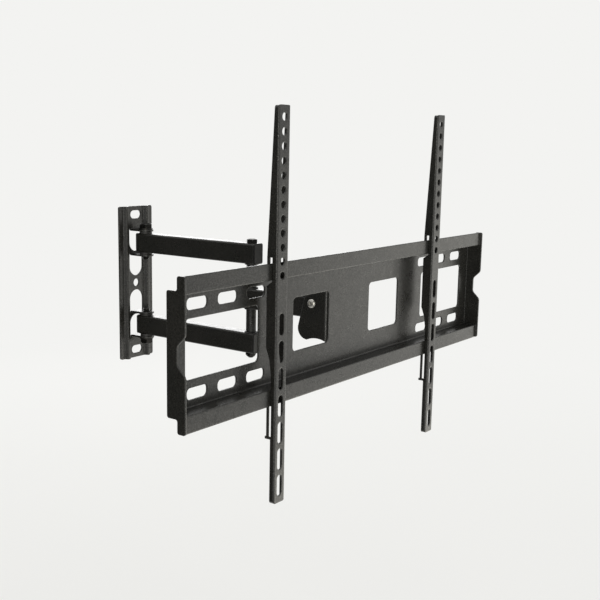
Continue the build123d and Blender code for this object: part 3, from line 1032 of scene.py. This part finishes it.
@dataclass(frozen=True)
class BracketWelds:
    """The two beads that hold the tilt bracket's base to the back of the pressed plate.

    Attributes:
        leg: how far a bead reaches from its corner along each face.
        half_length: half a bead's length.
        ripple: from one ripple to the next.
        ripple_share: how much a bead swells over a ripple.
        ripple_middle: how much of that swell is taken off, so that the leg is the middle size.
        hollow: half the share by which the bead's face comes nearer to its corner half way round.
        end_power: how late the ends fall away; a higher power falls later.
        end_least: the square of the share of a bead's size that is left at its ends.
        sunk: how far the bead's root lies inside both faces.
        rows: rows along a bead.
        arc: points round a bead's face.
    """

    leg: float = 0.0028
    half_length: float = 0.034
    ripple: float = 0.0016
    ripple_share: float = 0.09
    ripple_middle: float = 0.6
    hollow: float = 0.14
    end_power: int = 24
    end_least: float = 0.02
    sunk: float = 0.0003
    rows: int = 260
    arc: int = 9

    def bead(self, corner_y: float, corner_z: float, outward: int) -> Surface:
        """Works out one bead: a nearly flat fillet carried along X.

        The section turns a quarter about the corner, and its radius is the size of the bead less a wave
        that is deepest half way round. The size swells with the root of the way along each ripple, and
        falls at the ends as the root of one less a high power of the way along.

        Args:
            corner_y: the corner's place along Y.
            corner_z: the corner's place along Z.
            outward: 1 where the bead lies above the corner, -1 below.

        Returns:
            The bead.
        """
        along = np.linspace(-1, 1, self.rows)
        x = along * self.half_length
        wave = np.mod(x / self.ripple, 1.0)
        swell = 1 + self.ripple_share * (np.sqrt(wave) - self.ripple_middle)
        taper = np.sqrt(np.clip(1 - np.abs(along) ** self.end_power, self.end_least, 1))
        size = (self.leg * swell * taper)[:, None]
        angle = np.linspace(0, math.pi / 2, self.arc)[None, :]
        bulge = 1 - self.hollow + self.hollow * np.cos(4 * angle)
        depth, rise = size * bulge * np.cos(angle), size * bulge * np.sin(angle)
        root = np.full_like(x, -self.sunk)[:, None]
        y = corner_y + np.concatenate([depth, root], axis=1)
        z = corner_z + outward * np.concatenate([rise, root], axis=1)
        return Surface(np.stack([np.broadcast_to(x[:, None], y.shape), y, z], axis=-1))

    def build(self, bench: Bench) -> None:
        """Makes the upper and the lower bead.

        Args:
            bench: makes the pieces.
        """
        low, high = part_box("tilt_bracket")
        for name, corner_z, outward in (("upper", high.z, 1), ("lower", low.z, -1)):
            bead = self.bead(low.y, corner_z, outward)
            bench.piece(f"{name}_bracket_weld", bead, POWDER_COAT, "plate_unit")


# ---- studio
@dataclass(frozen=True)
class Softbox:
    """A rectangular lamp that faces a point, in metres and watts.

    Attributes:
        name: the lamp's name.
        place: where its middle hangs.
        size: its width and height.
        power: its power.
        colour: its colour as sRGB hex.
        target: the point that it faces.
    """

    name: str
    place: tuple[float, float, float]
    size: tuple[float, float]
    power: float
    colour: str = "ffffff"
    target: tuple[float, float, float] = (0.0, -0.3, 0.0)

    def hang(self) -> None:
        """Hangs the lamp in the scene."""
        data = bpy.data.lights.new(self.name, "AREA")
        data.shape, data.size, data.size_y = "RECTANGLE", *self.size
        data.energy, data.color = self.power, linear(self.colour)[:3]
        lamp = add_object(self.name, data)
        lamp.location = self.place
        lamp.rotation_mode = "QUATERNION"
        lamp.rotation_quaternion = (Vector(self.target) - lamp.location).to_track_quat("-Z", "Y")
        lamp.visible_camera = False


@dataclass(frozen=True)
class Studio:
    """The floor, the flag, the world, the lamps and the camera, in metres.

    Attributes:
        floor_gap: from the mount's lowest point down to the floor.
        floor_radius: the round floor's radius.
        paper: the colour of the floor's paper and of the world as sRGB hex.
        paper_cloud: the colour of the paper's faint clouds as sRGB hex.
        paper_roughness: the paper's roughness.
        clouds_per_metre: how many of those clouds lie in a metre.
        glow_share: how far the floor shows its plain colour under the mount; the rest is lit paper.
        glow_reach: where that share starts to rise to 1, and where it gets there.
        dim_world: how bright the world is where it only lights.
        cloth: the flag's colour as sRGB hex.
        flag_place: where the middle of the flag stands.
        flag_size: the flag's width and height.
        foot_share: where the flag's foot ends, as a share of the way out to the flag.
        camera_place: where the camera stands.
        heading: degrees from +Y towards +X.
        dip: degrees below level.
        roll: degrees about the line of sight.
        lens: focal length in millimetres.
        sensor: the sensor's width in millimetres.
        shift: the lens's shift.
        lamps: the softboxes.
    """

    floor_gap: float = 0.35
    floor_radius: float = 2.4
    paper: str = "f3f3f1"
    paper_cloud: str = "eeeeec"
    paper_roughness: float = 0.9
    clouds_per_metre: float = 1.6
    glow_share: float = 0.5
    glow_reach: tuple[float, float] = (0.5, 2.2)
    dim_world: float = 0.7
    cloth: str = "606060"
    flag_place: tuple[float, float, float] = (-1.55, 1.15, 0.12)
    flag_size: tuple[float, float] = (3.4, 1.3)
    foot_share: float = 0.2
    camera_place: tuple[float, float, float] = (-0.9678, -0.9895, 0.2006)
    heading: float = 52.21
    dip: float = 9.92
    roll: float = -0.72
    lens: float = 56.86
    sensor: float = 36.0
    shift: tuple[float, float] = (0.0598, 0.0168)
    lamps: tuple[Softbox, ...] = (
        Softbox("right_softbox", (2.4, -1.1, -0.35), (2.4, 1.0), 6.0, "fffbee"),
        Softbox("table_softbox", (0.75, -0.72, -0.52), (1.3, 0.7), 6.0, "fffbee", (0.75, -0.72, 0.0)),
        Softbox("front_strip", (-1.9, -1.9, 0.2), (0.35, 1.6), 14.0, "fffbee"),
        Softbox("top_softbox", (0.1, -0.3, 2.0), (1.6, 1.6), 11.0),
        Softbox("back_softbox", (1.7, 1.7, 0.45), (2.0, 0.8), 16.0),
    )

    def studio_paper(self) -> bpy.types.Material:
        """Builds the floor's material: clouded paper that turns to its plain colour further out.

        Returns:
            The material. It glows only where it is seen, and lights the mount as paper does.
        """
        material = bpy.data.materials.new("studio_paper")
        tree = cleared_tree(material)
        place = add_node(tree, "TexCoord", result="Object")
        cloud = add_node(tree, "TexNoise", Vector=place, Scale=self.clouds_per_metre)
        tone = add_node(
            tree, "Mix", {"data_type": "RGBA"}, "Result_Color", Factor_Float=cloud,
            A_Color=linear(self.paper), B_Color=linear(self.paper_cloud),
        )
        paper = add_node(tree, "BsdfPrincipled", Base_Color=tone, Roughness=self.paper_roughness)
        glow = add_node(tree, "Emission", Color=linear(self.paper), Strength=1.0)
        reach = add_node(tree, "VectorMath", {"operation": "LENGTH"}, "Value", Vector=place)
        start, end = self.glow_reach
        outward = add_node(
            tree, "MapRange", Value=reach, From_Min=start, From_Max=end, To_Min=self.glow_share
        )
        seen = seen_share(tree)
        share = add_node(tree, "Math", {"operation": "MULTIPLY"}, Value=seen, Value_001=outward)
        shader = add_node(tree, "MixShader", Fac=share, Shader=paper, Shader_001=glow)
        add_node(tree, "OutputMaterial", Surface=shader)
        return material

    def lay_floor(self) -> None:
        """Lays the plain pale floor below the mount."""
        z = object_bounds()[0].z - self.floor_gap
        rim = self.floor_radius * np.column_stack([np.cos(TURN), np.sin(TURN)])
        mesh = bpy.data.meshes.new("floor")
        corners = np.column_stack([rim, np.full(COLUMNS, z)])
        mesh.from_pydata(corners.tolist(), [], [tuple(range(COLUMNS))])
        mesh.materials.append(self.studio_paper())
        floor = add_object("floor", mesh)
        floor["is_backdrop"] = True

    def flag_cloth(self) -> bpy.types.Material:
        """Builds the flag's material.

        Returns:
            The material.
        """
        material = bpy.data.materials.new("flag_cloth")
        tree = cleared_tree(material)
        shader = add_node(tree, "BsdfDiffuse", Color=linear(self.cloth))
        add_node(tree, "OutputMaterial", Surface=shader)
        return material

    def stand_flag(self) -> None:
        """Stands a dark flag and its foot behind the left side: only reflections see them."""
        mesh = bpy.data.meshes.new("flag")
        middle = np.array(self.flag_place)
        along = np.array([self.flag_place[1], -self.flag_place[0], 0]) / math.hypot(*self.flag_place[:2])
        side, up = along * self.flag_size[0] / 2, np.array([0, 0, self.flag_size[1] / 2])
        toe = self.foot_share * middle * (1, 1, 0) + (middle - up) * (0, 0, 1)
        rows = (toe - side / 2, toe + side / 2, middle - side - up, middle + side - up)
        corners = (*rows, middle - side + up, middle + side + up)
        mesh.from_pydata([corner.tolist() for corner in corners], [], [(0, 1, 3, 2), (2, 3, 5, 4)])
        mesh.materials.append(self.flag_cloth())
        flag = add_object("flag", mesh)
        for ray in ("camera", "diffuse", "shadow", "transmission"):
            setattr(flag, f"visible_{ray}", False)
        flag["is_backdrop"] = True

    def light(self) -> None:
        """Hangs the lamps and sets the world: full where it is seen, dim where it only lights."""
        for lamp in self.lamps:
            lamp.hang()
        world = bpy.data.worlds.new("studio")
        tree = cleared_tree(world)
        strength = add_node(tree, "MapRange", Value=seen_share(tree), To_Min=self.dim_world, To_Max=1.0)
        background = add_node(tree, "Background", Color=linear(self.paper), Strength=strength)
        add_node(tree, "OutputWorld", Surface=background)
        bpy.context.scene.world = world
        bpy.context.scene.view_settings.view_transform = "Standard"

    def set_camera(self) -> None:
        """Stands the camera up: its axes are right, up and back, turned by heading, dip and roll."""
        data = bpy.data.cameras.new("camera")
        data.lens, data.sensor_width = self.lens, self.sensor
        data.shift_x, data.shift_y = self.shift
        heading, dip, roll = (math.radians(v) for v in (self.heading, self.dip, self.roll))
        level = math.cos(dip)
        ahead = Vector((math.sin(heading) * level, math.cos(heading) * level, -math.sin(dip)))
        right = Vector((math.cos(heading), -math.sin(heading), 0.0))
        down = ahead.cross(right)
        across = right * math.cos(roll) + down * math.sin(roll)
        below = down * math.cos(roll) - right * math.sin(roll)
        turn = Matrix((across, -below, -ahead)).transposed().to_4x4()
        camera = add_object("camera", data)
        camera.matrix_world = Matrix.Translation(self.camera_place) @ turn
        bpy.context.scene.camera = camera


def main() -> None:
    """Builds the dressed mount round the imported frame."""
    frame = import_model()
    studio = Studio()
    studio.set_camera()
    bench = Bench(frame)
    bench.dress_nodes()
    pivots = (ShoulderPivots(), ELBOW_PIVOT, SWIVEL_PIVOT, TiltPivots())
    for assembly in (*pivots, TubeCaps(), BracketWelds()):
        assembly.build(bench)
    studio.lay_floor()
    studio.stand_flag()
    studio.light()


if __name__ == "__main__":
    logging.basicConfig(level=logging.INFO, format="%(name)s: %(message)s")
    main()
